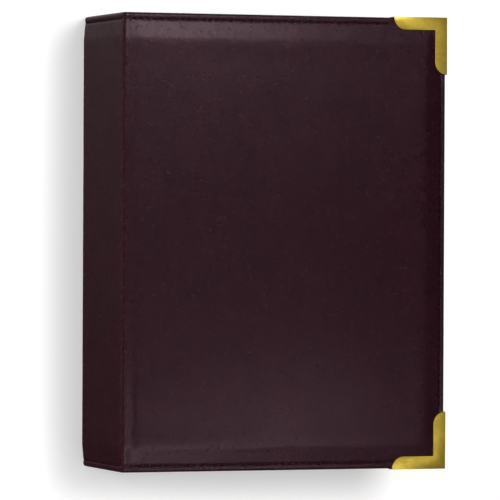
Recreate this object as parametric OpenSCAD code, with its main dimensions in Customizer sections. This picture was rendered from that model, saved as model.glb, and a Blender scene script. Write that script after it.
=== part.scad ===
// Ring album with padded leatherette covers, brass corners and coin pocket leaves.
// It lies closed on its back cover: X runs from spine to fore-edge, Y from foot to head, Z up.

/* [Cover] */
// Height of the covers, head to foot
cover_h = 240; // [230:1:260]
// Width of the covers, spine to fore-edge
cover_w = 182; // [178:1:200]
// Outside thickness of the closed album
album_t = 68; // [66:1:74]
// Thickness of the leatherette
skin_t = 0.7; // [0.5:0.1:0.9]
// Thickness of the foam padding under the middle of a cover
foam_t = 1.9; // [1.5:0.1:2.2]
// Thickness of the grey board
board_t = 2.4; // [2:0.1:3]
// Height that the padded middle stands above the sewn border
crown_t = 0.7; // [0.5:0.1:0.9]
// Width of the flat sewn border
border_w = 6.6; // [6:0.1:8]
// Width of the leatherette turned in over the board's inner face
turn_in_w = 12; // [10:1:16]
// Outer radius of the fold where a cover meets the spine
fold_r = 2; // [1.5:0.1:2.5]

/* [Brass corners] */
// Length of each arm
corner_arm = 30; // [24:1:34]
// Width of each arm
corner_w = 6.3; // [5:0.1:6.4]
// Thickness of the brass sheet
corner_t = 0.5; // [0.4:0.1:0.6]

/* [Stitching] */
// Distance from the cover's edge to the seam
seam_inset = 3.4; // [3:0.1:4.4]
// Diameter of the thread
thread_d = 0.4; // [0.3:0.1:0.5]

/* [Ring mechanism] */
// Distance between neighbouring rings
ring_pitch = 70; // [68:0.5:72]
// Radius of a ring, to the middle of its wire
ring_r = 21; // [20.5:0.1:21.5]
// Diameter of the ring wire
wire_d = 3.5; // [3:0.1:3.5]
// Width of the housing
housing_w = 32; // [31:0.5:33]
// Height of the housing
housing_h = 8; // [7.5:0.5:8.5]
// Length of the housing
housing_len = 226; // [224:1:226]

/* [Leaves] */
// Distance between neighbouring leaves
leaf_pitch = 2.6; // [2.5:0.1:2.6]
// Height of a leaf
leaf_h = 216; // [200:1:218]
// Width of the pocket area of a leaf
pockets_w = 111; // [100:1:112]
// Thickness of the pocket area
pockets_t = 1.8; // [1.4:0.1:1.8]
// Thickness of the punched binding edge
edge_t = 0.6; // [0.5:0.1:0.7]
// Thickness of the card behind the pockets
card_t = 0.5; // [0.4:0.1:0.6]
// Angle that the leaves droop towards the fore-edge
leaf_droop = 3.4; // [2.8:0.1:3.4]

/* [Hidden] */
$fn = 64;

eps = 0.01;
lining_t = skin_t;
panel_t = skin_t + foam_t + board_t + lining_t;
board_z = skin_t + foam_t;
lining_z = board_z + board_t;
mitre_gap = 0.3;
strip_gap = 0.15;
liner_t = 0.4;
liner_leg = 6;
short_leg = 1.2;
centre_x = (cover_w + corner_t) / 2;

// Ring mechanism, in its own frame: X across it and Z up from the back cover's lining
ring_x = 35;
ring_z = 23.5;
ring_ys = [-ring_pitch, 0, ring_pitch];
arc_end = 75;
arc_gap = 0.6;
sheet_t = 0.8;
housing_arch_r = 30;
pin_y = housing_len / 2 - 3.4;
ear_y = pin_y - 3;
pin_z = 1.7;
pin_r = 1;
running_gap = 0.05;
blade_t = 1;
blade_z = 1.2;
blade_w = 13.6;
blade_x = 0.4;
blade_end = pin_y - 2;
rivet_y = 35;
rivet_r = 2;
lever_w = 20;
lever_len = 14;
lever_lean = 75;
lever_hub_r = 1.6;
lever_foot = 3.4;

// Leaves, about the middle of the rings
leaf_count = 12;
edge_in = 9;
edge_out = 8;
slot_len = 11;
slot_w = 6;

// ---- Covers. A panel lies with its outer face down at z = 0 and its spine edge at x = 0 ----

// A layer w wide, inset from the head and the foot, and from the fore-edge too where it has a rim
module plate(w, rim, z, t, inset) {
    translate([0, -cover_h / 2 + inset, z])
        cube([w - rim * inset, cover_h - 2 * inset, t]);
}

// Solid inside a shell that is shrink thick: the flat sewn border with the raised middle on it
module panel_body(w, rim, shrink, top_z) {
    base_z = crown_t + shrink;
    plate(w, rim, base_z, top_z - base_z, shrink);
    plate(w, rim, shrink, crown_t + eps, border_w + shrink);
}

// Leatherette: it wraps the panel and is turned in round the lining
module panel_skin(w, rim) {
    difference() {
        panel_body(w, rim, 0, panel_t);
        translate([-eps, 0, 0])
            panel_body(w + 2 * eps * (1 - rim) + eps * rim, rim, skin_t, lining_z);
        translate([-eps, 0, 0])
            plate(w + 2 * eps * (1 - rim) + eps * rim, rim, lining_z - eps, lining_t + 2 * eps, turn_in_w);
    }
}

module panel_layer(w, rim, layer) {
    if (layer == "skin") panel_skin(w, rim);
    if (layer == "padding") panel_body(w, rim, skin_t, board_z);
    if (layer == "board") plate(w, rim, board_z, board_t, skin_t);
    if (layer == "lining") plate(w, rim, lining_z, lining_t, turn_in_w);
}

// Takes a 45 degree mitre off the edge at x = 0, and leaves the fold itself to the hinge strip
module mitred() {
    difference() {
        children();
        translate([mitre_gap / sqrt(2), 0, 0])
            rotate([0, 45, 0])
                translate([-4 * panel_t, -cover_h, -4 * panel_t])
                    cube([4 * panel_t, 2 * cover_h, 8 * panel_t]);
        translate([-1, -cover_h, -1]) cube([fold_r + 1, 2 * cover_h, panel_t + 2]);
    }
}

// Straight seam bars, standing on the sewn border
module seam(from, to) {
    d = to - from;
    translate([min(from[0], to[0]) - thread_d / 2, min(from[1], to[1]) - thread_d / 2, crown_t - thread_d])
        cube([abs(d[0]) + thread_d, abs(d[1]) + thread_d, thread_d]);
}

module cover_thread() {
    seam_x = cover_w - seam_inset;
    seam_y = cover_h / 2 - seam_inset;
    clear = corner_arm + 1;
    for (s = [-1, 1])
        seam([fold_r + 2, s * seam_y], [cover_w - clear, s * seam_y]);
    seam([seam_x, clear - cover_h / 2], [seam_x, cover_h / 2 - clear]);
}

// One cover's layer, placed as the back cover, or turned over as the front cover
module as_back() {
    translate([-centre_x, 0, 0]) children();
}

module as_front() {
    translate([-centre_x, 0, album_t]) mirror([0, 0, 1]) children();
}

// The spine stands on edge between the covers: its own X runs up
module as_spine() {
    translate([-centre_x, 0, 0]) mirror([1, 0, -1]) children();
}

module cover_part(layer) {
    mitred() panel_layer(cover_w, 1, layer);
}

module end_for_end() {
    translate([album_t, 0, 0]) mirror([1, 0, 0]) children();
}

// The spine is mitred at both of its long edges
module spine_part(layer) {
    mitred() end_for_end() mitred() panel_layer(album_t, 0, layer);
}

module spine_thread() {
    for (s = [-1, 1])
        seam([fold_r + 2, s * (cover_h / 2 - seam_inset)], [album_t - fold_r - 2, s * (cover_h / 2 - seam_inset)]);
}

// Leatherette round the fold between the spine and a cover, a hair short of the piece that turns
module hinge_strip(short_x, short_z) {
    translate([fold_r - centre_x, cover_h / 2, fold_r])
        rotate([90, 0, 0])
            linear_extrude(cover_h)
                intersection() {
                    difference() {
                        circle(fold_r);
                        circle(fold_r - skin_t);
                    }
                    translate([-fold_r, -fold_r]) square([fold_r - short_x, fold_r - short_z]);
                }
}

// Thin strip over the joint inside the same corner, its short leg turned towards the piece that moves
module hinge_liner(clear_x, clear_z, leg_x, leg_z) {
    translate([panel_t + clear_x - centre_x, -leaf_h / 2, panel_t + clear_z]) {
        cube([leg_x, leaf_h, liner_t]);
        cube([liner_t, leaf_h, leg_z]);
    }
}

module flipped() {
    translate([0, 0, album_t]) mirror([0, 0, 1]) children();
}

// ---- Brass corners ----

// An L of two arms with quarter-round ends, its outer corner at the origin, arms along -X and -Y
module corner_outline(arm, w) {
    module arm_shape() {
        translate([-arm + w, -w]) square([arm - w, w]);
        intersection() {
            translate([-arm + w, 0]) circle(w);
            translate([-arm, -w]) square(w);
        }
    }
    arm_shape();
    mirror([1, -1]) arm_shape();
}

module brass_corner() {
    translate([cover_w + corner_t, cover_h / 2 + corner_t, 0])
        difference() {
            translate([0, 0, crown_t - corner_t])
                linear_extrude(panel_t - crown_t + 2 * corner_t)
                    corner_outline(corner_arm + corner_t, corner_w + corner_t);
            translate([-cover_w - corner_t, -cover_h - corner_t, crown_t])
                cube([cover_w, cover_h, panel_t - crown_t]);
        }
}

// ---- Ring mechanism ----

module on_back() {
    translate([ring_x - centre_x, 0, panel_t]) children();
}

module along_y(len) {
    translate([0, len / 2, 0]) rotate([90, 0, 0]) linear_extrude(len) children();
}

module arch_profile(half_w, r) {
    intersection() {
        translate([0, housing_h - housing_arch_r]) circle(r, $fn = 128);
        translate([-half_w, 0]) square([2 * half_w, housing_h + 1]);
    }
}

module ring_housing() {
    difference() {
        along_y(housing_len)
            difference() {
                arch_profile(housing_w / 2, housing_arch_r);
                translate([0, -eps]) arch_profile(housing_w / 2 - sheet_t, housing_arch_r - sheet_t);
            }
        for (y = ring_ys, s = [-1, 1])
            translate([s * 10 - 7, y - wire_d / 2 - 0.5, 2.5])
                cube([14, wire_d + 1, housing_h]);
        for (s = [-1, 1]) {
            translate([-housing_w, s * (ear_y + 10) - 10, 3.3]) cube([2 * housing_w, 20, housing_h]);
            translate([0, s * rivet_y, 0]) cylinder(h = housing_h + 1, r = rivet_r);
        }
        lever_pin_shafts(pin_r);
    }
}

module lever_pin_shafts(r) {
    for (s = [-1, 1])
        translate([-housing_w / 2 - 0.4, s * pin_y, pin_z])
            rotate([0, 90, 0]) cylinder(h = housing_w + 0.8, r = r);
}

// Rivets run from the housing's roof into the board
module rivets() {
    head_h = 1.2;
    shank_z = board_z - panel_t + 0.4;
    for (s = [-1, 1])
        translate([0, s * rivet_y, 0]) {
            translate([0, 0, housing_h]) cylinder(h = head_h, r1 = 4, r2 = 2.6);
            translate([0, 0, shank_z]) cylinder(h = housing_h - shank_z, r = rivet_r);
        }
}

// One blade lies on the +X side of the mechanism's middle line, with the ring feet staked into it
module blade(w, end_y) {
    difference() {
        translate([blade_x, -end_y, blade_z]) cube([w, 2 * end_y, blade_t]);
        for (s = [-1, 1])
            translate([0, s * rivet_y, -1]) cylinder(h = housing_h, r = rivet_r + 0.6);
        half_rings();
    }
}

// Half of each ring, on the +X side, and the foot that stakes it to its blade
module half_rings() {
    for (y = ring_ys)
        translate([0, y, ring_z]) {
            rotate([90, 0, 0])
                rotate([0, 0, -arc_end])
                    rotate_extrude(angle = 90 + arc_end - arc_gap)
                        translate([ring_r, 0]) circle(d = wire_d, $fn = 32);
            translate([ring_r * cos(arc_end), 0, blade_z - ring_z])
                cylinder(h = ring_z - blade_z - ring_r * sin(arc_end), d = wire_d - 0.4);
            translate([ring_r * cos(arc_end), 0, -ring_r * sin(arc_end)])
                sphere(d = wire_d + 0.3, $fn = 32);
        }
}

// The +Y lever: hub, thumb plate and the foot that lifts the moving blade
module lever() {
    translate([0, pin_y, pin_z])
        difference() {
            union() {
                translate([-lever_w / 2, 0, 0]) rotate([0, 90, 0]) cylinder(h = lever_w, r = lever_hub_r);
                translate([-lever_w / 2, 0, 0])
                    rotate([lever_lean, 0, 0]) {
                        translate([0, 1.2, -0.7]) cube([lever_w, lever_len - 1.2, 1.4]);
                        translate([0, lever_len, 0]) rotate([0, 90, 0]) cylinder(h = lever_w, r = 1.3);
                    }
                translate([-3.4, -lever_foot, -lever_hub_r + 0.2]) cube([3, lever_foot - 0.75, 0.6]);
            }
            translate([-lever_w, 0, 0]) rotate([0, 90, 0]) cylinder(h = 2 * lever_w, r = pin_r + running_gap);
        }
}

// ---- Leaves ----

// Height of leaf k's middle above the middle of the rings, leaf 1 on top
function leaf_rise(k) = ((leaf_count + 1) / 2 - k) * leaf_pitch;
function hole_x(k) = sqrt(ring_r * ring_r - leaf_rise(k) * leaf_rise(k));

module place_leaf(k) {
    on_back()
        translate([0, 0, ring_z])
            rotate([0, leaf_droop, 0])
                translate([hole_x(k), 0, leaf_rise(k)]) children();
}

module punched_slot() {
    for (s = [-1, 1])
        translate([s * (slot_len - slot_w) / 2, 0, -1]) cylinder(h = 2, d = slot_w);
    translate([-(slot_len - slot_w) / 2, -slot_w / 2, -1]) cube([slot_len - slot_w, slot_w, 2]);
}

module leaf_pockets(k) {
    color("gainsboro")
        place_leaf(k) {
            difference() {
                translate([-edge_in, -leaf_h / 2, -edge_t / 2]) cube([edge_in + edge_out, leaf_h, edge_t]);
                for (y = ring_ys) translate([0, y, 0]) punched_slot();
            }
            translate([edge_out, -leaf_h / 2, -edge_t / 2]) cube([pockets_w, leaf_h, pockets_t]);
        }
}

module leaf_card(k) {
    card_margin = 1.5;
    color("dimgray")
        place_leaf(k)
            translate([edge_out + card_margin, -leaf_h / 2 + card_margin, -edge_t / 2 - card_t])
                cube([pockets_w - 2 * card_margin, leaf_h - 2 * card_margin, card_t]);
}

// ---- Named nodes ----

leather = [0.2, 0.11, 0.14];
brass = [0.6, 0.52, 0.2];
board_grey = [0.55, 0.52, 0.48];
foam_white = [0.85, 0.85, 0.8];
lining_red = [0.16, 0.08, 0.1];
thread_red = [0.12, 0.05, 0.07];
nickel = [0.75, 0.75, 0.74];

module front_board() { color(board_grey) as_front() cover_part("board"); }
module front_padding() { color(foam_white) as_front() cover_part("padding"); }
module front_skin() { color(leather) as_front() cover_part("skin"); }
module front_lining() { color(lining_red) as_front() cover_part("lining"); }
module front_thread() { color(thread_red) as_front() cover_thread(); }
module front_corner_top() { color(brass) as_front() brass_corner(); }
module front_corner_bottom() { color(brass) as_front() mirror([0, 1, 0]) brass_corner(); }

module spine_board() { color(board_grey) as_spine() spine_part("board"); }
module spine_padding() { color(foam_white) as_spine() spine_part("padding"); }
module spine_skin() { color(leather) as_spine() spine_part("skin"); }
module spine_lining() { color(lining_red) as_spine() spine_part("lining"); }
module spine_thread_bars() { color(thread_red) as_spine() spine_thread(); }
module front_hinge_strip() { color(leather) flipped() hinge_strip(strip_gap, 0); }
module back_hinge_strip() { color(leather) hinge_strip(0, strip_gap); }
module front_hinge_liner() { color(lining_red) flipped() hinge_liner(0, strip_gap, short_leg, liner_leg); }
module back_hinge_liner() { color(lining_red) hinge_liner(strip_gap, 0, liner_leg, short_leg); }

module back_board() {
    color(board_grey)
        difference() {
            as_back() cover_part("board");
            on_back() rivets();
        }
}
module back_padding() { color(foam_white) as_back() cover_part("padding"); }
module back_skin() { color(leather) as_back() cover_part("skin"); }
module back_lining() {
    color(lining_red)
        difference() {
            as_back() cover_part("lining");
            on_back() rivets();
        }
}
module back_thread() { color(thread_red) as_back() cover_thread(); }
module back_corner_top() { color(brass) as_back() brass_corner(); }
module back_corner_bottom() { color(brass) as_back() mirror([0, 1, 0]) brass_corner(); }

module housing_rivets() { color(nickel) on_back() rivets(); }
module housing() { color(nickel) on_back() ring_housing(); }
module lever_pins() { color(nickel) on_back() lever_pin_shafts(pin_r); }
module fixed_blade() { color(nickel) on_back() blade(housing_w / 2 - sheet_t - blade_x, blade_end - 3); }
module fixed_ring_halves() { color(nickel) on_back() half_rings(); }
module moving_blade() { color(nickel) on_back() mirror([1, 0, 0]) blade(blade_w, blade_end); }
module moving_ring_halves() { color(nickel) on_back() mirror([1, 0, 0]) half_rings(); }
module top_lever() { color(nickel) on_back() lever(); }
module bottom_lever() { color(nickel) on_back() mirror([0, 1, 0]) lever(); }

front_board();
front_padding();
front_skin();
front_lining();
front_thread();
front_corner_top();
front_corner_bottom();
spine_board();
spine_padding();
spine_skin();
spine_lining();
spine_thread_bars();  // spine_thread
front_hinge_strip();
back_hinge_strip();
front_hinge_liner();
back_hinge_liner();
back_board();
back_padding();
back_skin();
back_lining();
back_thread();
back_corner_top();
back_corner_bottom();
housing();  // ring_housing
fixed_blade();
fixed_ring_halves();
housing_rivets();
lever_pins();
moving_blade();
moving_ring_halves();
top_lever();
bottom_lever();
for (k = [1 : leaf_count]) {
    label = str("leaf_", k < 10 ? "0" : "", k);
    leaf_pockets(k);
    leaf_card(k);
}
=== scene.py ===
import math

import bmesh
import bpy
import numpy as np
from mathutils import Euler, Matrix, Vector, noise


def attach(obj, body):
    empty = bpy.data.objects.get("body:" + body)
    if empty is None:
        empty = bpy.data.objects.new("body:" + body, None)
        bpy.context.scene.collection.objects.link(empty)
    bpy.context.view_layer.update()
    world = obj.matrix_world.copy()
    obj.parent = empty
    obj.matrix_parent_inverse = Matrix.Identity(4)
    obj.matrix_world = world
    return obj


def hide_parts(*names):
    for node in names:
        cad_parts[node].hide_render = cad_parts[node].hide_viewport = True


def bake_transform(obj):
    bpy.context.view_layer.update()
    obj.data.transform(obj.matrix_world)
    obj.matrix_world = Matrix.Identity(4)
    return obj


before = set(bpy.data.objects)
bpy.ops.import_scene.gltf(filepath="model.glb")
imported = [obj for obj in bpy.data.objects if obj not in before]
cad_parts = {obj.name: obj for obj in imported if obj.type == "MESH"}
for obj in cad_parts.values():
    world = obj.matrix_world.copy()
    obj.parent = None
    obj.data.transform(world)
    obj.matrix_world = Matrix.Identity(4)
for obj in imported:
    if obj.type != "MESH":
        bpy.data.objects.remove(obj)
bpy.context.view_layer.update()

MM = 0.001

# ---- Sizes in mm, in the album's own measure: x from the spine's outer face, z from the table ----

COVER_W = 182.0
COVER_H = 240.0
ALBUM_T = 68.0
PANEL_T = 5.7
CENTRE_X = 91.25
FOLD_R = 2.0
MID_Z = ALBUM_T / 2

SEAM_Y = 3.4        # seam to head or foot edge
SEAM_X = 2.7        # seam to fore-edge
STITCH_PITCH = 3.8
BORDER_DEPTH = 0.85
PAD_SLOPE_V = 10.5  # width of the padded slope along head and foot
PAD_SLOPE_U = 9.5   # and along the fore-edge
SPINE_PAD = 0.55    # the spine's pad is this much as deep as the cover's
FURROW_W = 0.55
FURROW_DEPTH = 0.16
PUCKER_DEPTH = 0.07
PUCKER_FADE = 2.2
SWELL_DEPTH = 0.12
SWELL_IN = 15.0     # the foam swells most this far in from the edge
SWELL_W = 6.0
DENT_DEPTH = 0.3
DENT_X = 6.0        # hinge dent to the spine's outer face
DENT_W = 2.4
UNEVEN = 0.16
EDGE_R = 1.3
INNER_R = 0.8
TURN_IN = 12.0

RING_X = 35.0
RING_Z = PANEL_T + 23.5
RING_R = 21.0
RING_YS = (-70.0, 0.0, 70.0)
LEAF_COUNT = 12
LEAF_PITCH = 2.6
LEAF_H = 216.0
POCKETS_W = 111.0
LEAF_DROOP = math.radians(3.4)


def row(x, y, z):
    """Album millimetres to the row frame's metres."""
    return Vector(((x - CENTRE_X) * MM, y * MM, z * MM))


# ---- Materials ----

def new_material(name):
    mat = bpy.data.materials.new(name)
    mat.use_nodes = True
    tree = mat.node_tree
    return mat, tree, tree.nodes["Principled BSDF"]


def add_node(tree, kind, **settings):
    node = tree.nodes.new(kind)
    for key, value in settings.items():
        if key in node.inputs:
            node.inputs[key].default_value = value
        else:
            setattr(node, key, value)
    return node


def scaled(tree, source, scale):
    node = add_node(tree, "ShaderNodeMapping")
    node.inputs["Scale"].default_value = scale
    tree.links.new(source, node.inputs["Vector"])
    return node.outputs["Vector"]


def ramp(tree, fac, stops):
    node = tree.nodes.new("ShaderNodeValToRGB")
    elements = node.color_ramp.elements
    while len(elements) < len(stops):
        elements.new(0.5)
    for element, (pos, colour) in zip(elements, stops):
        element.position = pos
        element.color = (*colour, 1) if len(colour) == 3 else colour
    tree.links.new(fac, node.inputs["Fac"])
    return node.outputs["Color"]


def value_range(tree, fac, low, high, out_low, out_high):
    node = tree.nodes.new("ShaderNodeMapRange")
    for key, value in zip(("From Min", "From Max", "To Min", "To Max"), (low, high, out_low, out_high)):
        node.inputs[key].default_value = value
    tree.links.new(fac, node.inputs["Value"])
    return node.outputs["Result"]


def mixed(tree, fac, first, second, blend="MIX"):
    """Colour mix; fac, first and second are each a socket or a plain value."""
    node = add_node(tree, "ShaderNodeMix", data_type="RGBA", blend_type=blend)
    for index, source in zip((0, 6, 7), (fac, first, second)):
        if isinstance(source, bpy.types.NodeSocket):
            tree.links.new(source, node.inputs[index])
        else:
            node.inputs[index].default_value = source
    return node.outputs[2]


def texture(tree, kind, vector, **settings):
    node = add_node(tree, "ShaderNodeTex" + kind, **settings)
    tree.links.new(vector, node.inputs["Vector"])
    return node


def scaled_sum(tree, value, gain, other, clamp=False):
    """value * gain + other"""
    node = add_node(tree, "ShaderNodeMath", operation="MULTIPLY_ADD", use_clamp=clamp)
    tree.links.new(value, node.inputs[0])
    node.inputs[1].default_value = gain
    tree.links.new(other, node.inputs[2])
    return node.outputs[0]


def point_value(tree, name):
    """A number kept on the mesh's points, such as wear."""
    node = add_node(tree, "ShaderNodeAttribute", attribute_name=name)
    return node.outputs["Fac"]


def uv_in_mm(tree):
    uv = add_node(tree, "ShaderNodeUVMap", uv_map="UVMap").outputs["UV"]
    return scaled(tree, uv, (1000, 1000, 1000))


def grey(value):
    return (value,) * 3


def shades(colour, *stops):
    """Ramp stops of one colour, each given as (position, brightness)."""
    return [(pos, [c * gain for c in colour]) for pos, gain in stops]


def add_bump(tree, shader, height, distance, strength=1.0, normal=None):
    node = add_node(tree, "ShaderNodeBump", Strength=strength, Distance=distance)
    tree.links.new(height, node.inputs["Height"])
    if normal is not None:
        tree.links.new(normal, node.inputs["Normal"])
    tree.links.new(node.outputs["Normal"], shader.inputs["Normal"])
    return node.outputs["Normal"]


def leather_material(name, base, light, rough, grain_mm, grain_depth):
    """Coated leatherette: pebbles, fine creases between them darkened with painted shade, mottled colour,
    paler where it is rubbed.
    """
    mat, tree, shader = new_material(name)
    mm_uv = uv_in_mm(tree)
    drift = texture(tree, "Noise", mm_uv, Scale=0.9 / grain_mm, Detail=2.0)
    warp = add_node(tree, "ShaderNodeVectorMath", operation="MULTIPLY_ADD")
    warp.inputs[1].default_value = (0.5 * grain_mm,) * 3
    tree.links.new(drift.outputs["Color"], warp.inputs[0])
    tree.links.new(mm_uv, warp.inputs[2])
    pebble = texture(tree, "Voronoi", warp.outputs[0],
                     feature="SMOOTH_F1", Scale=1 / grain_mm, Smoothness=0.35)
    crease = texture(tree, "Voronoi", warp.outputs[0], feature="DISTANCE_TO_EDGE", Scale=1 / grain_mm)
    pore = texture(tree, "Noise", mm_uv, Scale=4.5 / grain_mm, Detail=4.0, Roughness=0.6)
    mottle = texture(tree, "Noise", mm_uv, Scale=0.045, Detail=5.0, Roughness=0.62)
    rub = texture(tree, "Noise", mm_uv, Scale=0.35, Detail=6.0, Roughness=0.7)

    colour = ramp(tree, mottle.outputs["Fac"], shades(base, (0.3, 0.8), (0.72, 1.22)))
    rubbed = add_node(tree, "ShaderNodeMath", operation="MULTIPLY")
    tree.links.new(point_value(tree, "wear"), rubbed.inputs[0])
    tree.links.new(value_range(tree, rub.outputs["Fac"], 0.38, 0.66, 0.15, 1.0), rubbed.inputs[1])
    rubbed_colour = mixed(tree, rubbed.outputs[0], colour, (*light, 1))
    # painted shade: the creases between the pebbles are darkened to a quarter in the base colour
    painted_crease_shade = ramp(tree, crease.outputs["Distance"], [(0.0, grey(0.25)), (0.3, grey(1.0))])
    tree.links.new(mixed(tree, 0.8, rubbed_colour, painted_crease_shade, "MULTIPLY"), shader.inputs["Base Color"])

    polish = value_range(tree, rub.outputs["Fac"], 0.3, 0.7, rough - 0.02, rough + 0.04)
    tree.links.new(polish, shader.inputs["Roughness"])
    shader.inputs["Specular IOR Level"].default_value = 0.35
    shader.inputs["Specular Tint"].default_value = (1.0, 0.72, 0.84, 1.0)
    cell = value_range(tree, pebble.outputs["Distance"], 0.0, 0.75, 1.0, 0.0)
    line = value_range(tree, crease.outputs["Distance"], 0.0, 0.12, 0.0, 1.0)
    coarse = add_bump(tree, shader, scaled_sum(tree, cell, 0.45, line), grain_depth * MM)
    add_bump(tree, shader, pore.outputs["Fac"], grain_depth * 0.3 * MM, 0.6, coarse)
    return mat


def metal_material(name, dark, bright, rough, brush, brush_axis, smudge):
    """Plated metal: brushed lines along one axis, faint smudges and a few fine scratches."""
    mat, tree, shader = new_material(name)
    obj = add_node(tree, "ShaderNodeTexCoord").outputs["Object"]
    stretch = [1.0, 1.0, 1.0]
    stretch[brush_axis] = 0.03
    lines = texture(tree, "Noise", scaled(tree, obj, stretch), Scale=6000.0, Detail=2.0)
    marks = texture(tree, "Noise", obj, Scale=130.0, Detail=6.0, Roughness=0.7)
    scratch = texture(tree, "Voronoi", scaled(tree, obj, (1.0, 0.22, 1.0)),
                      feature="DISTANCE_TO_EDGE", Scale=240.0)
    tone = ramp(tree, marks.outputs["Fac"], [(0.34, dark), (0.62, bright)])
    tree.links.new(tone, shader.inputs["Base Color"])
    polish = value_range(tree, marks.outputs["Fac"], 0.3, 0.7, rough + smudge, rough)
    tree.links.new(polish, shader.inputs["Roughness"])
    shader.inputs["Metallic"].default_value = 1.0
    fine = add_bump(tree, shader, lines.outputs["Fac"], brush * MM)
    scratches = value_range(tree, scratch.outputs["Distance"], 0.0, 0.006, 0.0, 1.0)
    add_bump(tree, shader, scratches, 0.004 * MM, 0.5, fine)
    return mat


def thread_material(name, base):
    """Twisted sewing thread with a little fuzz, painted darker in the twist's grooves as shade."""
    mat, tree, shader = new_material(name)
    uv = add_node(tree, "ShaderNodeUVMap", uv_map="UVMap").outputs["UV"]
    twist = texture(tree, "Wave", scaled(tree, uv, (3.0, 1.0, 1.0)), Scale=1.0, Distortion=0.6,
                    wave_type="BANDS", bands_direction="DIAGONAL")
    fuzz = texture(tree, "Noise", uv, Scale=14.0, Detail=4.0)
    # painted shade: the colour darkens where the twist's bump is low, in the grooves between the plies
    tone = ramp(tree, twist.outputs["Fac"], shades(base, (0.1, 0.55), (0.7, 1.0)))
    tree.links.new(tone, shader.inputs["Base Color"])
    shader.inputs["Roughness"].default_value = 0.6
    shader.inputs["Specular IOR Level"].default_value = 0.15
    turn = add_bump(tree, shader, twist.outputs["Fac"], 0.09 * MM)
    add_bump(tree, shader, fuzz.outputs["Fac"], 0.03 * MM, 0.6, turn)
    return mat


def film_material(name, colour, alpha, rough, thin_tint):
    """Clear plastic film, slightly wavy, with fine handling marks, milky along its welds, and with a
    painted highlight of extra milkiness along the pocket lips.
    """
    mat, tree, shader = new_material(name)
    obj = add_node(tree, "ShaderNodeTexCoord").outputs["Object"]
    wave = texture(tree, "Noise", obj, Scale=38.0, Detail=2.0)
    marks = texture(tree, "Noise", scaled(tree, obj, (1.0, 0.25, 1.0)),
                    Scale=900.0, Detail=5.0, Roughness=0.65)
    tone = ramp(tree, wave.outputs["Fac"], [(0.3, thin_tint), (0.7, colour)])
    tree.links.new(tone, shader.inputs["Base Color"])
    polish = value_range(tree, marks.outputs["Fac"], 0.35, 0.75, rough, rough + 0.16)
    tree.links.new(polish, shader.inputs["Roughness"])
    haze = value_range(tree, marks.outputs["Fac"], 0.4, 0.8, alpha, alpha + 0.08)
    # welds are milky; the pocket lips also get extra milkiness here as a painted highlight
    cover = scaled_sum(tree, point_value(tree, "weld_and_lip_highlight"), 0.5, haze, clamp=True)
    tree.links.new(cover, shader.inputs["Alpha"])
    shader.inputs["Specular IOR Level"].default_value = 0.6
    add_bump(tree, shader, wave.outputs["Fac"], 0.25 * MM)
    return mat


def card_material(name, base):
    """Uncoated card or grey board: short fibres over a cloudy tone."""
    mat, tree, shader = new_material(name)
    obj = add_node(tree, "ShaderNodeTexCoord").outputs["Object"]
    fibre = texture(tree, "Noise", scaled(tree, obj, (1.0, 0.45, 1.0)),
                    Scale=2600.0, Detail=5.0, Roughness=0.7)
    cloud = texture(tree, "Noise", obj, Scale=60.0, Detail=4.0)
    clouded = value_range(tree, cloud.outputs["Fac"], 0.3, 0.7, 0.1, 0.4)
    blend = scaled_sum(tree, fibre.outputs["Fac"], 0.5, clouded)
    tone = ramp(tree, blend, shades(base, (0.3, 0.75), (0.75, 1.35)))
    tree.links.new(tone, shader.inputs["Base Color"])
    shader.inputs["Roughness"].default_value = 0.82
    add_bump(tree, shader, fibre.outputs["Fac"], 0.05 * MM)
    return mat


def lining_material(name, base):
    """Smooth vinyl lining with a fine linen emboss, its colour painted darker in the emboss's hollows and
    paler on its ridges as shade and light.
    """
    mat, tree, shader = new_material(name)
    mm_uv = uv_in_mm(tree)
    heights = []
    for stretch in ((2.4, 0.22, 1.0), (0.22, 2.4, 1.0)):
        weave = texture(tree, "Noise", scaled(tree, mm_uv, stretch),
                        Scale=1.0, Detail=3.0, Roughness=0.55)
        heights.append(weave.outputs["Fac"])
    linen = add_node(tree, "ShaderNodeMath", operation="ADD")
    tree.links.new(heights[0], linen.inputs[0])
    tree.links.new(heights[1], linen.inputs[1])
    emboss = value_range(tree, linen.outputs[0], 0.7, 1.3, 0.0, 1.0)
    # painted shade and light: the colour follows the emboss, darker in its hollows and paler on its ridges
    tree.links.new(ramp(tree, emboss, shades(base, (0.1, 0.78), (0.9, 1.2))), shader.inputs["Base Color"])
    shader.inputs["Roughness"].default_value = 0.55
    shader.inputs["Specular IOR Level"].default_value = 0.35
    add_bump(tree, shader, linen.outputs[0], 0.12 * MM)
    return mat


LEATHER = leather_material("leatherette_burgundy", base=(0.0185, 0.0009, 0.0044), light=(0.05, 0.02, 0.027),
                           rough=0.25, grain_mm=0.9, grain_depth=0.030)
LINING = lining_material("lining_burgundy", (0.036, 0.010, 0.016))
THREAD = thread_material("thread_burgundy", (0.013, 0.0022, 0.0045))
BRASS = metal_material("brass_satin", dark=(0.53, 0.366, 0.041), bright=(0.72, 0.53, 0.080),
                       rough=0.38, brush=0.003, brush_axis=0, smudge=0.1)
NICKEL = metal_material("nickel_plate", dark=(0.66, 0.65, 0.63), bright=(0.85, 0.84, 0.82),
                        rough=0.16, brush=0.0015, brush_axis=1, smudge=0.1)
FILM = film_material("pocket_film", (0.62, 0.65, 0.68), alpha=0.09, rough=0.1,
                     thin_tint=(0.48, 0.52, 0.56))
FILM_EDGE = film_material("binding_film", (0.84, 0.86, 0.88), alpha=0.55, rough=0.2,
                          thin_tint=(0.72, 0.76, 0.8))
CARD = card_material("card_black", (0.011, 0.011, 0.012))
BOARD = card_material("grey_board", (0.3, 0.28, 0.25))


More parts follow.
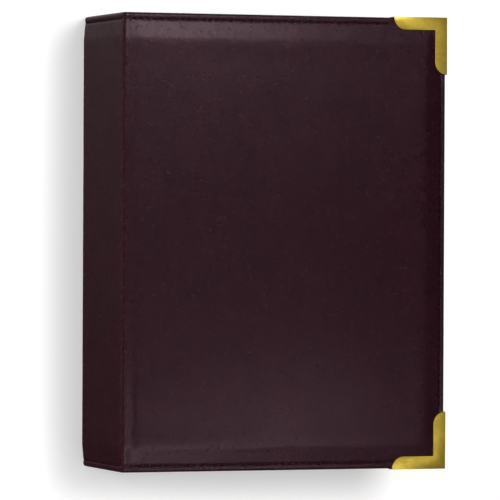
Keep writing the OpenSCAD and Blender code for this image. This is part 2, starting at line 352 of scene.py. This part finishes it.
def link_mesh(name, mesh, material, body=None, smooth_angle=40.0):
    obj = bpy.data.objects.new(name, mesh)
    bpy.context.scene.collection.objects.link(obj)
    mesh.materials.clear()
    mesh.materials.append(material)
    if smooth_angle is not None:
        mesh.polygons.foreach_set("use_smooth", [True] * len(mesh.polygons))
        mesh.set_sharp_from_angle(angle=math.radians(smooth_angle))
    if body:
        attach(obj, body)
    return obj


def built_mesh(name, verts, faces, uvs=None, attribute=None, values=None, outward=True):
    """Mesh from points and faces; uvs and the attribute's values have one entry for each point."""
    mesh = bpy.data.meshes.new(name)
    mesh.from_pydata(verts, [], faces)
    if uvs:
        layer = mesh.uv_layers.new(name="UVMap")
        loop_verts = np.zeros(len(mesh.loops), int)
        mesh.loops.foreach_get("vertex_index", loop_verts)
        layer.data.foreach_set("uv", np.array(uvs)[loop_verts].ravel())
    if attribute:
        mesh.attributes.new(attribute, "FLOAT", "POINT").data.foreach_set("value", values)
    if outward:
        bm = bmesh.new()
        bm.from_mesh(mesh)
        bmesh.ops.recalc_face_normals(bm, faces=bm.faces)
        bm.to_mesh(mesh)
        bm.free()
    return mesh


def recoated(node, material):
    """A CAD node keeps its mesh and gets a better material."""
    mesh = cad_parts[node].data
    mesh.materials.clear()
    mesh.materials.append(material)


# ---- Leatherette shells: cover, fold and half of the spine in one skin round foam and board ----

ARC_LEN = math.pi / 2 * FOLD_R
SPINE_LEN = MID_Z - FOLD_R
ARC_END = SPINE_LEN + ARC_LEN
SHELL_LEN = ARC_END + COVER_W - FOLD_R
FAN = 6.0           # the inner face turns the corner over this much each side of the fold
FILLET = 0.6
LINING_SINK = 0.35  # where a lining covers the skin, the skin lies this far below the panel's inner face
FOLD_WEAR = 0.55
FOLD_WEAR_W = 1.6
RIM_STEPS = 5
INNER_STEPS = 4


def outer_point(s):
    """Outer face s mm from the spine's middle, over the fold and along the cover, with its normal."""
    if s <= SPINE_LEN:
        return (0.0, MID_Z + s), (-1.0, 0.0)
    if s < ARC_END:
        a = (s - SPINE_LEN) / FOLD_R
        nx, nz = -math.cos(a), math.sin(a)
        return (FOLD_R + FOLD_R * nx, ALBUM_T - FOLD_R + FOLD_R * nz), (nx, nz)
    return (FOLD_R + s - ARC_END, ALBUM_T), (0.0, 1.0)


def inner_point(s):
    """Inner face opposite outer_point(s); it turns the corner in a small fillet."""
    lo, hi = SPINE_LEN - FAN, ARC_END + FAN
    top = ALBUM_T - PANEL_T
    if s <= lo:
        return PANEL_T, MID_Z + s
    if s >= hi:
        return FOLD_R + s - ARC_END, top
    straight = top - FILLET - (MID_Z + lo)
    arc = math.pi / 2 * FILLET
    far = FOLD_R + FAN - (PANEL_T + FILLET)
    d = (s - lo) / (hi - lo) * (straight + arc + far)
    if d < straight:
        return PANEL_T, MID_Z + lo + d
    if d < straight + arc:
        a = (d - straight) / FILLET
        return PANEL_T + FILLET - FILLET * math.cos(a), top - FILLET + FILLET * math.sin(a)
    return PANEL_T + FILLET + d - straight - arc, top


def shell_point(s, v, w, front):
    """Row-frame point at depth w below the crown; the back shell is the front one turned over."""
    (px, pz), (nx, nz) = outer_point(s)
    qx, qz = inner_point(s)
    if w <= 0:
        x, z = px - nx * w, pz - nz * w
    else:
        k = w / PANEL_T
        x, z = px + (qx - px) * k, pz + (qz - pz) * k
    return row(x, v, z if front else ALBUM_T - z)


def clamped(t):
    return min(1.0, max(0.0, t))


def ease(t):
    """Even slope from 0 that rounds over to 1."""
    t = clamped(t)
    straight = 0.7
    rise = 2 / (1 + straight)
    return rise * t if t < straight else 1 - rise * (1 - t) ** 2 / (2 * (1 - straight))


def soft_noise(s, v, front):
    """Slow unevenness of the foam, the same on both shells where they meet."""
    x, z = outer_point(s)[0]
    q = Vector((x, v, z if front else ALBUM_T - z))
    return noise.noise(q * 0.035) * 0.6 + noise.noise(q * 0.011) * 0.4


def stitch_wave(along):
    """1 at each needle hole, 0 at the middle of each stitch."""
    return 0.5 + 0.5 * math.cos(2 * math.pi * along / STITCH_PITCH)


def crown_depth(s, v, front):
    """Depth of the leatherette below the crown: flat border, seam furrow, padded slope and hinge dent."""
    dv = COVER_H / 2 - abs(v)
    du = SHELL_LEN - s
    slope_v = ease((dv - SEAM_Y - 0.3) / PAD_SLOPE_V)
    slope_u = ease((du - SEAM_X - 0.3) / PAD_SLOPE_U)
    inside = slope_v * slope_u
    on_cover = clamped((s - SPINE_LEN + 2) / (ARC_LEN + 4))
    depth = BORDER_DEPTH * (1 - inside) * (SPINE_PAD + (1 - SPINE_PAD) * on_cover)
    # seam furrow, deeper at each needle hole, and puckers fading up the slope
    for d, seam, along, other in ((dv, SEAM_Y, s, du - SEAM_X), (du, SEAM_X, v, dv - SEAM_Y)):
        if other < -0.5:
            continue
        wave = stitch_wave(along)
        depth += FURROW_DEPTH * (1 + wave) * math.exp(-((d - seam) / FURROW_W) ** 2)
        if d > seam:
            depth += PUCKER_DEPTH * wave * math.exp(-(d - seam) / PUCKER_FADE)
    depth -= SWELL_DEPTH * math.exp(-((min(dv, du) - SWELL_IN) / SWELL_W) ** 2) * inside * on_cover
    if s > ARC_END:
        x = FOLD_R + s - ARC_END
        depth += DENT_DEPTH * math.exp(-((x - DENT_X) / DENT_W) ** 2) * (0.35 + 0.65 * slope_v)
    depth += soft_noise(s, v, front) * UNEVEN * inside
    # the back cover lies flat on the table, and eases into the spine over the fold
    if not front and depth < 0:
        depth *= 1 - clamped((s - SPINE_LEN + 8) / 8)
    return depth


def graded(lo, hi, fine_lo, fine_hi, fine, coarse, breaks=()):
    """Grid lines from lo to hi: fine ones near the ends and the breaks, coarse ones between."""
    out = [lo]
    x = lo
    while x < hi - 1e-6:
        near = x < lo + fine_lo or x > hi - fine_hi or any(a <= x <= b for a, b in breaks)
        x += fine if near else coarse
        out.append(min(x, hi))
    if out[-1] - out[-2] < 0.2 * fine:
        out.pop(-2)
    return out


def build_shell(name, front):
    """Closed skin: outer face, rolled edges, turn-ins and the face under the lining."""
    ss = graded(0.0, SHELL_LEN - EDGE_R, 0.0, 14.0, 0.5, 1.3, [(SPINE_LEN - 3, ARC_END + 10)])
    vs = graded(-COVER_H / 2 + EDGE_R, COVER_H / 2 - EDGE_R, 14.0, 14.0, 0.5, 1.3)
    ns, nv = len(ss), len(vs)
    verts, uvs, wear = [], [], []

    def put(s, v, w, worn=0.0):
        verts.append(shell_point(s, v, w, front))
        uvs.append(((s if front else -s) * MM, v * MM))
        wear.append(worn)
        return len(verts) - 1

    faces = []
    outer = []
    for s in ss:
        worn = FOLD_WEAR * math.exp(-((s - (SPINE_LEN + ARC_LEN / 2)) / FOLD_WEAR_W) ** 2)
        outer.append([put(s, v, crown_depth(s, v, front), worn) for v in vs])
    s_in = [s * (SHELL_LEN - TURN_IN) / ss[-1] for s in ss]
    v_in = [v * (COVER_H / 2 - TURN_IN) / vs[-1] for v in vs]
    inner = [[put(s, v, PANEL_T - LINING_SINK) for v in v_in] for s in s_in]
    for i in range(ns - 1):
        for j in range(nv - 1):
            faces.append((outer[i][j], outer[i + 1][j], outer[i + 1][j + 1], outer[i][j + 1]))
            faces.append((inner[i][j], inner[i][j + 1], inner[i + 1][j + 1], inner[i + 1][j]))
    # rim: chain of grid positions round the foot, the fore-edge and the head
    chain = [(i, 0) for i in range(ns)]
    chain += [(ns - 1, j) for j in range(1, nv)]
    chain += [(i, nv - 1) for i in range(ns - 2, -1, -1)]
    # each loop of the rim: how far out it lies, its depth and its kind; a rolled edge's depth is added to
    # the crown's, a wall's is the share of the wall that is passed, and an inner one's counts from outside
    steps = []
    for k in range(1, RIM_STEPS + 1):
        a = k / RIM_STEPS * math.pi / 2
        steps.append((EDGE_R * math.sin(a), EDGE_R * (1 - math.cos(a)), "rolled"))
    wall = PANEL_T - INNER_R
    steps.append((EDGE_R, 0.5, "wall"))
    steps.append((EDGE_R, 1.0, "wall"))
    for k in range(1, INNER_STEPS + 1):
        a = k / INNER_STEPS * math.pi / 2
        steps.append((EDGE_R - INNER_R * (1 - math.cos(a)), wall + INNER_R * math.sin(a), "inner"))
    for reach in (3.0, 6.0, 9.0, TURN_IN - 0.8):
        steps.append((EDGE_R - reach, PANEL_T, "inner"))
    steps.append((EDGE_R - TURN_IN + 0.2, PANEL_T - 0.12, "inner"))
    loops = [[outer[i][j] for i, j in chain]]
    for out, depth, kind in steps:
        loop = []
        for i, j in chain:
            s, v = ss[i], vs[j]
            du = 1.0 if i == ns - 1 else 0.0
            dv = -1.0 if j == 0 else 1.0 if j == nv - 1 else 0.0
            start = crown_depth(s, v, front)
            if kind == "rolled":
                w, worn = start + depth, 0.85 * (out / EDGE_R) ** 2
            elif kind == "inner":
                w, worn = depth, 0.1
            else:
                w = start + EDGE_R + (wall - start - EDGE_R) * depth
                worn = 0.6 if depth < 1 else 0.4
            # the inner loops follow the scaled grid so that the faces stay square
            t = 0.0 if out >= 0 else -out / (TURN_IN - EDGE_R)
            s2 = s + du * out if out >= 0 else s + (s_in[i] - s) * t
            v2 = v + dv * out if out >= 0 else v + (v_in[j] - v) * t
            loop.append(put(s2, v2, w, worn))
        loops.append(loop)
    loops.append([inner[i][j] for i, j in chain])
    for a, b in zip(loops, loops[1:]):
        for k in range(len(chain) - 1):
            faces.append((a[k], b[k], b[k + 1], a[k + 1]))
    # the cut at the spine's middle, where the other shell meets it
    for j in range(nv - 1):
        faces.append((outer[0][j], outer[0][j + 1], inner[0][j + 1], inner[0][j]))
    faces.append([loop[0] for loop in loops])
    faces.append([loop[-1] for loop in reversed(loops)])
    return link_mesh(name, built_mesh(name, verts, faces, uvs, "wear", wear), LEATHER)


front_shell = build_shell("front_leatherette", True)
back_shell = build_shell("back_leatherette", False)
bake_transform(front_shell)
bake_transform(back_shell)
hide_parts("front_skin", "front_hinge_strip", "front_padding",
            "spine_skin", "spine_padding")
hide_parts("back_skin", "back_hinge_strip", "back_padding")


# ---- Stitches ----

def stitch_shape(length, radius):
    """One thread stitch along x, flat side down, dipping into its needle holes at both ends."""
    rings, sides = 7, 8
    pts = []
    for i in range(rings):
        t = i / (rings - 1)
        x = (t - 0.5) * length
        swell = math.sin(math.pi * (0.12 + 0.76 * t)) ** 0.5
        lift = radius * 0.75 * math.sin(math.pi * t) - radius * 0.3
        for k in range(sides):
            a = 2 * math.pi * k / sides
            y = radius * 1.1 * swell * math.cos(a)
            z = lift + radius * 0.8 * swell * math.sin(a)
            pts.append((x, y, z))
    faces = []
    for i in range(rings - 1):
        for k in range(sides):
            n = (k + 1) % sides
            faces.append((i * sides + k, (i + 1) * sides + k, (i + 1) * sides + n, i * sides + n))
    faces.append(tuple(range(sides)))
    faces.append(tuple((rings - 1) * sides + k for k in reversed(range(sides))))
    return pts, faces, rings, sides


THREAD_R = 0.33
STITCH_SHARE = 0.8   # of the pitch; the rest is the gap between stitches


def build_stitches(name, places, body, nodes):
    """places: (s, v, along_v, front) for each stitch, at the middle of its length."""
    shape, shape_faces, rings, sides = stitch_shape(STITCH_PITCH * STITCH_SHARE, THREAD_R)
    verts, faces, uvs = [], [], []
    for n, (s, v, along_v, front) in enumerate(places):
        step = 0.5
        depth = crown_depth(s, v, front)
        here = shell_point(s, v, depth - 0.1, front)
        up = (shell_point(s, v, depth - 1.1, front) - shell_point(s, v, depth - 0.1, front)).normalized()
        if along_v:
            run = shell_point(s, v + step, depth, front) - shell_point(s, v - step, depth, front)
        else:
            run = shell_point(s + step, v, depth, front) - shell_point(s - step, v, depth, front)
        run = (run - up * run.dot(up)).normalized()
        slant = math.radians(3.0 * math.sin(n * 12.9898))
        side = up.cross(run)
        run = run * math.cos(slant) + side * math.sin(slant)
        side = up.cross(run)
        base = len(verts)
        for x, y, z in shape:
            verts.append(here + (run * x + side * y + up * z) * MM)
        faces += [tuple(base + k for k in face) for face in shape_faces]
        uvs += [((i // sides) / (rings - 1), (i % sides) / sides) for i in range(len(shape))]
    obj = link_mesh(name, built_mesh(name, verts, faces, uvs, outward=False), THREAD, body, 60.0)
    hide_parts(*nodes)


CORNER_CLEAR = 31.0  # the seam's end at a brass corner
SEAM_V = COVER_H / 2 - SEAM_Y
SEAM_S = SHELL_LEN - SEAM_X


def stitch_run(lo, hi):
    """Stitch middles between lo and hi, on the same pitch as the furrow's needle holes."""
    first = math.ceil(lo / STITCH_PITCH) + 0.5
    return [k * STITCH_PITCH for k in np.arange(first, hi / STITCH_PITCH - 0.5, 1.0)]


for side, front in (("front", True), ("back", False)):
    places = []
    for sign in (-1, 1):
        run = stitch_run(ARC_END + 2.0, SHELL_LEN - CORNER_CLEAR)
        places += [(s, sign * SEAM_V, False, front) for s in run]
    run = stitch_run(CORNER_CLEAR - COVER_H / 2, COVER_H / 2 - CORNER_CLEAR)
    places += [(SEAM_S, v, True, front) for v in run]
    build_stitches(side + "_stitches", places, side + "_cover", [side + "_thread"])
places = []
for front in (True, False):
    for sign in (-1, 1):
        places += [(s, sign * SEAM_V, False, front) for s in stitch_run(0.0, SPINE_LEN - 1.5)]
build_stitches("spine_stitches", places, "spine", ["spine_thread"])


# ---- Metal: the CAD's exact shapes with their edges broken ----

def softened(node, name, material, body, width_mm, segments=2):
    """Copy of a CAD node with rolled edges, which stands for the node."""
    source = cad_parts[node]
    mesh = source.data.copy()
    mesh.transform(source.matrix_world)
    bm = bmesh.new()
    bm.from_mesh(mesh)
    bmesh.ops.remove_doubles(bm, verts=bm.verts, dist=1e-6)
    bmesh.ops.dissolve_limit(bm, angle_limit=math.radians(1.0), verts=bm.verts, edges=bm.edges)
    bm.to_mesh(mesh)
    bm.free()
    if mesh.has_custom_normals:
        mesh.attributes.remove(mesh.attributes["custom_normal"])
    mesh.name = name
    obj = link_mesh(name, mesh, material, None, None)
    bevel = obj.modifiers.new("edges", "BEVEL")
    bevel.width = width_mm * MM
    bevel.segments = segments
    bevel.limit_method = "ANGLE"
    bevel.angle_limit = math.radians(35)
    bevel.harden_normals = False
    bpy.context.view_layer.update()
    done = bpy.data.meshes.new_from_object(obj.evaluated_get(bpy.context.evaluated_depsgraph_get()))
    obj.modifiers.clear()
    obj.data = done
    done.polygons.foreach_set("use_smooth", [True] * len(done.polygons))
    done.set_sharp_from_angle(angle=math.radians(38))
    done.materials.clear()
    done.materials.append(material)
    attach(obj, body)
    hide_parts(node)


for side in ("front", "back"):
    for end in ("top", "bottom"):
        softened(f"{side}_corner_{end}", f"{side}_brass_{end}", BRASS, side + "_cover", 0.24,
                 segments=3)

softened("ring_housing", "housing_plate", NICKEL, "back_cover", 0.12)
softened("top_lever", "head_lever", NICKEL, "top_lever", 0.15)
softened("bottom_lever", "foot_lever", NICKEL, "bottom_lever", 0.15)
softened("housing_rivets", "rivet_heads", NICKEL, "back_cover", 0.3, segments=3)
for node in ("fixed_blade", "moving_blade", "fixed_ring_halves", "moving_ring_halves", "lever_pins"):
    recoated(node, NICKEL)


# ---- Flat plates: linings ----

LINING_LAP = 0.8     # the linings reach this far over the skin's turn-ins
LINING_HALF_H = LEAF_H / 2 + LINING_LAP


def plate_mesh(name, outline, thickness, edge):
    """Rounded plate standing on z = 0 in mm: outline is a closed list of (x, y)."""
    bm = bmesh.new()
    base = [bm.verts.new((x, y, 0)) for x, y in outline]
    face = bm.faces.new(base)
    top = bmesh.ops.extrude_face_region(bm, geom=[face])
    raised = [g for g in top["geom"] if isinstance(g, bmesh.types.BMVert)]
    bmesh.ops.translate(bm, verts=raised, vec=(0, 0, thickness))
    bmesh.ops.recalc_face_normals(bm, faces=bm.faces)
    rim = [e for e in bm.edges if all(abs(v.co.z - thickness) < 1e-6 for v in e.verts)]
    bmesh.ops.bevel(bm, geom=rim, offset=edge, segments=3, affect="EDGES", profile=0.5)
    mesh = bpy.data.meshes.new(name)
    bm.to_mesh(mesh)
    bm.free()
    return mesh


def rounded_rect(x0, x1, y0, y1, r, steps=5):
    pts = []
    corners = ((x1 - r, y1 - r, 0), (x0 + r, y1 - r, 90), (x0 + r, y0 + r, 180), (x1 - r, y0 + r, 270))
    for cx, cy, start in corners:
        for k in range(steps + 1):
            a = math.radians(start + 90 * k / steps)
            pts.append((cx + r * math.cos(a), cy + r * math.sin(a)))
    return pts


def planar_uv(mesh):
    """UV in metres from a plate's own x and y in mm."""
    layer = mesh.uv_layers.new(name="UVMap")
    for loop in mesh.loops:
        co = mesh.vertices[loop.vertex_index].co
        layer.data[loop.index].uv = (co.x * MM, co.y * MM)


def build_lining(name, width, matrix, body, node):
    """matrix puts the plate's own x, y, z (mm) into the album's measure."""
    outline = rounded_rect(0, width, -LINING_HALF_H, LINING_HALF_H, 1.2)
    mesh = plate_mesh(name, outline, thickness=0.5, edge=0.18)
    planar_uv(mesh)
    mesh.transform(matrix)
    mesh.transform(Matrix.Translation((-CENTRE_X, 0, 0)))
    mesh.transform(Matrix.Scale(MM, 4))
    obj = link_mesh(name, mesh, LINING, body)
    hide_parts(node)


LINING_BASE = PANEL_T - 0.38
LINING_FROM = PANEL_T + 0.4
LINING_W = COVER_W - TURN_IN + LINING_LAP - LINING_FROM
FACE_DOWN = Matrix.Rotation(math.pi, 4, "X")
UPRIGHT = Matrix.Rotation(math.pi / 2, 4, "Y")
build_lining("back_endpaper", LINING_W, Matrix.Translation((LINING_FROM, 0, LINING_BASE)),
             "back_cover", "back_lining")
build_lining("front_endpaper", LINING_W,
             Matrix.Translation((LINING_FROM, 0, ALBUM_T - LINING_BASE)) @ FACE_DOWN,
             "front_cover", "front_lining")
build_lining("spine_endpaper", ALBUM_T - 2 * LINING_FROM,
             Matrix.Translation((LINING_BASE, 0, ALBUM_T - LINING_FROM)) @ UPRIGHT,
             "spine", "spine_lining")


# ---- Inner hinge liners: cloth-backed strips that bend in the corners ----

LINER_WEAR = 0.12


def build_liner(name, front, node):
    """Strip of leatherette over the inner corner, a shallow fillet at rest."""
    leg, thick = 10.0, 0.35
    top = PANEL_T + 0.12
    rows_s = 26
    diagonal = 0.7071
    prof = []
    for i in range(rows_s + 1):
        t = i / rows_s * 2 - 1
        d = abs(t) * leg
        bend = 1.6 * math.exp(-(d / 2.2) ** 2)
        x = top + max(0.0, t) * leg + bend * 0.5
        z = top + max(0.0, -t) * leg + bend * 0.5
        prof.append((x, z))
    n_v = 110
    half = LINING_HALF_H
    verts, uvs, faces = [], [], []
    for side in (0, 1):
        for i, (x, z) in enumerate(prof):
            fade = min(1.0, min(i, rows_s - i) / 2)
            lift = thick * fade if side else -0.2
            for j in range(n_v + 1):
                v = -half + 2 * half * j / n_v
                ripple = 0.06 * noise.noise(Vector((i * 0.35, v * 0.09, 3.0 if front else 7.0))) * fade
                k = lift + ripple * side
                if i < rows_s * 0.35:
                    off = (k, 0.0)
                elif i > rows_s * 0.65:
                    off = (0.0, k)
                else:
                    off = (k * diagonal, k * diagonal)
                zz = z + off[1]
                verts.append(row(x + off[0], v, ALBUM_T - zz if front else zz))
                uvs.append((i * leg * 2 / rows_s * MM, v * MM))
    m = n_v + 1
    size = (rows_s + 1) * m
    for side in (0, 1):
        b = side * size
        for i in range(rows_s):
            for j in range(n_v):
                near, far = b + i * m + j, b + (i + 1) * m + j
                faces.append((near, far, far + 1, near + 1))
    for i in range(rows_s):
        for j in (0, n_v):
            faces.append((i * m + j, (i + 1) * m + j, size + (i + 1) * m + j, size + i * m + j))
    for j in range(n_v):
        for i in (0, rows_s):
            faces.append((i * m + j, i * m + j + 1, size + i * m + j + 1, size + i * m + j))
    mesh = built_mesh(name, verts, faces, uvs, "wear", [LINER_WEAR] * len(verts))
    obj = link_mesh(name, mesh, LEATHER, None, 60.0)
    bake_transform(obj)
    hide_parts(node)


build_liner("front_gutter", True,
            "front_hinge_liner")
build_liner("back_gutter", False,
            "back_hinge_liner")


# ---- Pocket leaves ----

POCKET_COLS = 3
POCKET_ROWS = 5
WELD_W = 2.4
WELD_DIP = 0.06
MOUTH_BELOW = 4.5   # pocket mouth to the head of its cell
NOTCH_R = 8.0
NOTCH_DEPTH = 5.0
FILM_BASE = 0.12
FILM_STEP = 0.35    # the mouth's edge slopes down over this
LIP_RISE = 0.22
PUFF_RISE = 0.78
PUFF_SIDE = 4.5     # the film has risen fully this far in from a side weld
PUFF_FOOT = 6.0
WELDED, LIP_LOW, LIP_HIGH = 0.1, 0.13, 0.34   # film heights: welded below, a pocket's lip between
EDGE_IN = 9.0
EDGE_OUT = 8.0


def leaf_matrix(k):
    """Leaf k's place on the rings: its own x runs from the ring's wire to the leaf's outer edge."""
    rise = ((LEAF_COUNT + 1) / 2 - k) * LEAF_PITCH
    hole = math.sqrt(RING_R ** 2 - rise ** 2)
    ring = Matrix.Translation((RING_X - CENTRE_X, 0, RING_Z))
    droop = Matrix.Rotation(LEAF_DROOP, 4, "Y")
    place = ring @ droop @ Matrix.Translation((hole, 0, rise))
    return Matrix.Scale(MM, 4) @ place


def binding_mesh():
    """Punched binding edge with rounded corners and three oblong slots."""
    data = bpy.data.curves.new("binding_outline", "CURVE")
    data.dimensions = "2D"
    data.fill_mode = "BOTH"
    data.extrude = 0.22
    data.bevel_depth = 0.08
    data.bevel_resolution = 1

    def outline(points):
        spline = data.splines.new("POLY")
        spline.points.add(len(points) - 1)
        for p, (x, y) in zip(spline.points, points):
            p.co = (x, y, 0, 1)
        spline.use_cyclic_u = True

    inset = 0.1
    pts = rounded_rect(-EDGE_IN + inset, EDGE_OUT + 0.6, -LEAF_H / 2 + inset, LEAF_H / 2 - inset, 2.0, 4)
    outline(pts)
    for y in RING_YS:
        outline([(px, py + y) for px, py in rounded_rect(-5.4, 5.4, -2.9, 2.9, 2.85, 6)])
    obj = bpy.data.objects.new("binding_outline", data)
    bpy.context.scene.collection.objects.link(obj)
    bpy.context.view_layer.update()
    mesh = bpy.data.meshes.new_from_object(obj.evaluated_get(bpy.context.evaluated_depsgraph_get()))
    bpy.data.objects.remove(obj)
    return mesh


def rounded_rise(t):
    t = min(1.0, t)
    return t * (2 - t)


def pocket_height(x, y, cell_w, cell_h):
    """Height of the front film over the sheet it is welded to, x and y measured inside the pocket area."""
    cx = (x / cell_w) % 1.0 * cell_w
    cy = (y / cell_h) % 1.0 * cell_h
    from_side = min(cx, cell_w - cx) - WELD_W / 2
    from_foot = cy - WELD_W / 2
    mouth = cell_h - MOUTH_BELOW
    notch = abs(cx - cell_w / 2) / NOTCH_R
    if notch < 1:
        mouth -= NOTCH_DEPTH * math.sqrt(1 - notch ** 2)
    if from_side <= 0 or from_foot <= 0:
        return FILM_BASE - WELD_DIP
    if cy > mouth + FILM_STEP:
        return FILM_BASE
    puff = rounded_rise(from_side / PUFF_SIDE) * rounded_rise(from_foot / PUFF_FOOT)
    lip = 0.5 + 0.5 * clamped((mouth - cy) / 8.0)
    drop = 1.0 if cy <= mouth else 1 - (cy - mouth) / FILM_STEP
    return FILM_BASE + (LIP_RISE + PUFF_RISE * puff * lip) * drop


def pocket_mesh():
    """Pocket area: puffed front film, flat back film, closed all round."""
    cell_w = POCKETS_W / POCKET_COLS
    cell_h = LEAF_H / POCKET_ROWS
    welds_x = [(c * cell_w - 2.2, c * cell_w + 2.2) for c in range(POCKET_COLS + 1)]
    notches = [((c + 0.5) * cell_w - 9.0, (c + 0.5) * cell_w + 9.0) for c in range(POCKET_COLS)]
    welds_y = [(r * cell_h - 1.6, r * cell_h + 2.2) for r in range(POCKET_ROWS + 1)]
    mouths = [(r * cell_h - 10.2, r * cell_h - 3.6) for r in range(1, POCKET_ROWS + 1)]
    # grid lines are close together at the welds, notches and mouths
    xs = graded(0.0, POCKETS_W, 0, 0, 0.6, 1.8, welds_x + notches)
    ys = graded(0.0, LEAF_H, 0, 0, 0.45, 1.9, welds_y + mouths)
    back = -0.28        # the back film's height, under the leaf's middle
    verts, faces, weld_and_lip_highlight = [], [], []
    nx, ny = len(xs), len(ys)
    for x in xs:
        for y in ys:
            film = pocket_height(x, y, cell_w, cell_h)
            verts.append((EDGE_OUT + x, y - LEAF_H / 2, back + 0.35 + film))
            # pocket lips get 0.45: a painted highlight along each mouth's edge, not a weld
            weld_and_lip_highlight.append(1.0 if film < WELDED else 0.45 if LIP_LOW < film < LIP_HIGH else 0.0)
    for i in range(nx - 1):
        for j in range(ny - 1):
            a = i * ny + j
            faces.append((a, a + ny, a + ny + 1, a + 1))
    chain = [(i, 0) for i in range(nx)]
    chain += [(nx - 1, j) for j in range(1, ny)]
    chain += [(i, ny - 1) for i in range(nx - 2, -1, -1)]
    chain += [(0, j) for j in range(ny - 2, 0, -1)]
    lower = []
    for i, j in chain:
        lower.append(len(verts))
        verts.append((EDGE_OUT + xs[i], ys[j] - LEAF_H / 2, back))
        weld_and_lip_highlight.append(0.6)
    n = len(chain)
    for k in range(n):
        a, b = chain[k], chain[(k + 1) % n]
        faces.append((a[0] * ny + a[1], lower[k], lower[(k + 1) % n], b[0] * ny + b[1]))
    faces.append(lower)
    return built_mesh("pocket_panel", verts, faces, attribute="weld_and_lip_highlight", values=weld_and_lip_highlight)


binding_base = binding_mesh()
pocket_base = pocket_mesh()
leaf_parts = (("pockets", pocket_base, FILM, 50.0), ("binding", binding_base, FILM_EDGE, 40.0))
for k in range(1, LEAF_COUNT + 1):
    body = "leaf_%02d" % k if k <= LEAF_COUNT // 2 else "back_cover"
    for part, base, material, angle in leaf_parts:
        mesh = base.copy()
        mesh.transform(leaf_matrix(k))
        piece = link_mesh("leaf_%02d_film_%s" % (k, part), mesh, material, body, angle)
        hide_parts("leaf_%02d_pockets" % k)
    recoated("leaf_%02d_card" % k, CARD)
for node in ("front_board", "spine_board", "back_board"):
    recoated(node, BOARD)


# ---- Floor, light and camera ----

def plain_material(name, colour, rough):
    mat, tree, shader = new_material(name)
    shader.inputs["Base Color"].default_value = (*colour, 1)
    shader.inputs["Roughness"].default_value = rough
    shader.inputs["Specular IOR Level"].default_value = 0.1
    return mat


floor_mesh = bpy.data.meshes.new("floor")
floor_mesh.from_pydata([(-6, -6, 0), (6, -6, 0), (6, 6, 0), (-6, 6, 0)], [], [(0, 1, 2, 3)])
FLOOR_WHITE = plain_material("floor_white", grey(0.93), 0.9)
floor = link_mesh("floor", floor_mesh, FLOOR_WHITE, None, None)
floor.location.z = -0.0002
# reflections pass the floor and see the lower half of the world instead
floor.visible_glossy = False
floor_shader = FLOOR_WHITE.node_tree.nodes["Principled BSDF"]
floor_shader.inputs["Emission Color"].default_value = (1.0, 1.0, 1.0, 1.0)
floor_shader.inputs["Emission Strength"].default_value = 0.26

world = bpy.data.worlds.new("studio")
bpy.context.scene.world = world
world.use_nodes = True
world_tree = world.node_tree
sky = add_node(world_tree, "ShaderNodeTexCoord").outputs["Generated"]
height = add_node(world_tree, "ShaderNodeSeparateXYZ")
world_tree.links.new(sky, height.inputs[0])
# dark overhead, so that the flat cover reflects little; a bright floor beyond the album's own shadow
above = ramp(world_tree, height.outputs["Z"], [(0.0, grey(0.9)), (0.45, grey(0.9)), (0.75, grey(0.075))])
below = value_range(world_tree, height.outputs["Y"], 0.04, 0.13, 0.11, 1.3)
horizon = value_range(world_tree, height.outputs["Z"], -0.02, 0.02, 0.0, 1.0)
background = world_tree.nodes["Background"]
world_tree.links.new(mixed(world_tree, horizon, below, above), background.inputs["Color"])
# reflections see a dimmer studio than the one that lights the floor
glossy = world_tree.nodes.new("ShaderNodeLightPath").outputs["Is Glossy Ray"]
strength = value_range(world_tree, glossy, 0.0, 1.0, 1.0, 0.32)
world_tree.links.new(strength, background.inputs["Strength"])


def area_light(name, location, target, size, power):
    data = bpy.data.lights.new(name, "AREA")
    data.shape = "RECTANGLE"
    data.size, data.size_y = size
    data.energy = power
    light = bpy.data.objects.new(name, data)
    light.location = location
    light.rotation_euler = (Vector(target) - Vector(location)).to_track_quat("-Z", "Y").to_euler()
    bpy.context.scene.collection.objects.link(light)
    return light


key = area_light("key", (0.30, 0.27, 1.5), (0, 0, 0), (0.6, 0.6), 14.5)
# the two panels light only the gloss: the highlight along the head, and the paler lower left
head_panel = area_light("head_panel", (0.045, 0.245, 0.50), (-0.04, 0.10, 0.06), (0.22, 0.09), 0.80)
foot_panel = area_light("foot_panel", (0.03, -0.20, 0.46), (-0.02, -0.10, 0.06), (0.36, 0.07), 0.42)
left_fill = area_light("left_fill", (-1.3, 0.0, 0.22), (-0.09, 0.0, 0.034), (1.0, 0.3), 16.5)
for light in (key, left_fill):
    light.visible_glossy = False
for light in (head_panel, foot_panel):
    light.visible_diffuse = False
for light in (key, head_panel, foot_panel, left_fill):
    light.visible_camera = False

# fitted to the six visible corners of the photograph
camera_data = bpy.data.cameras.new("camera")
camera = bpy.data.objects.new("camera", camera_data)
bpy.context.scene.collection.objects.link(camera)
camera_data.sensor_width = 36.0
camera_data.lens = 314.0
camera_data.clip_end = 50.0
camera.location = (-0.8010, 0.0129, 2.2230)
camera.rotation_euler = Euler((math.radians(-0.513), math.radians(-19.912), math.radians(0.279)), "XYZ")
bpy.context.scene.camera = camera
bpy.context.scene.view_settings.view_transform = "Standard"
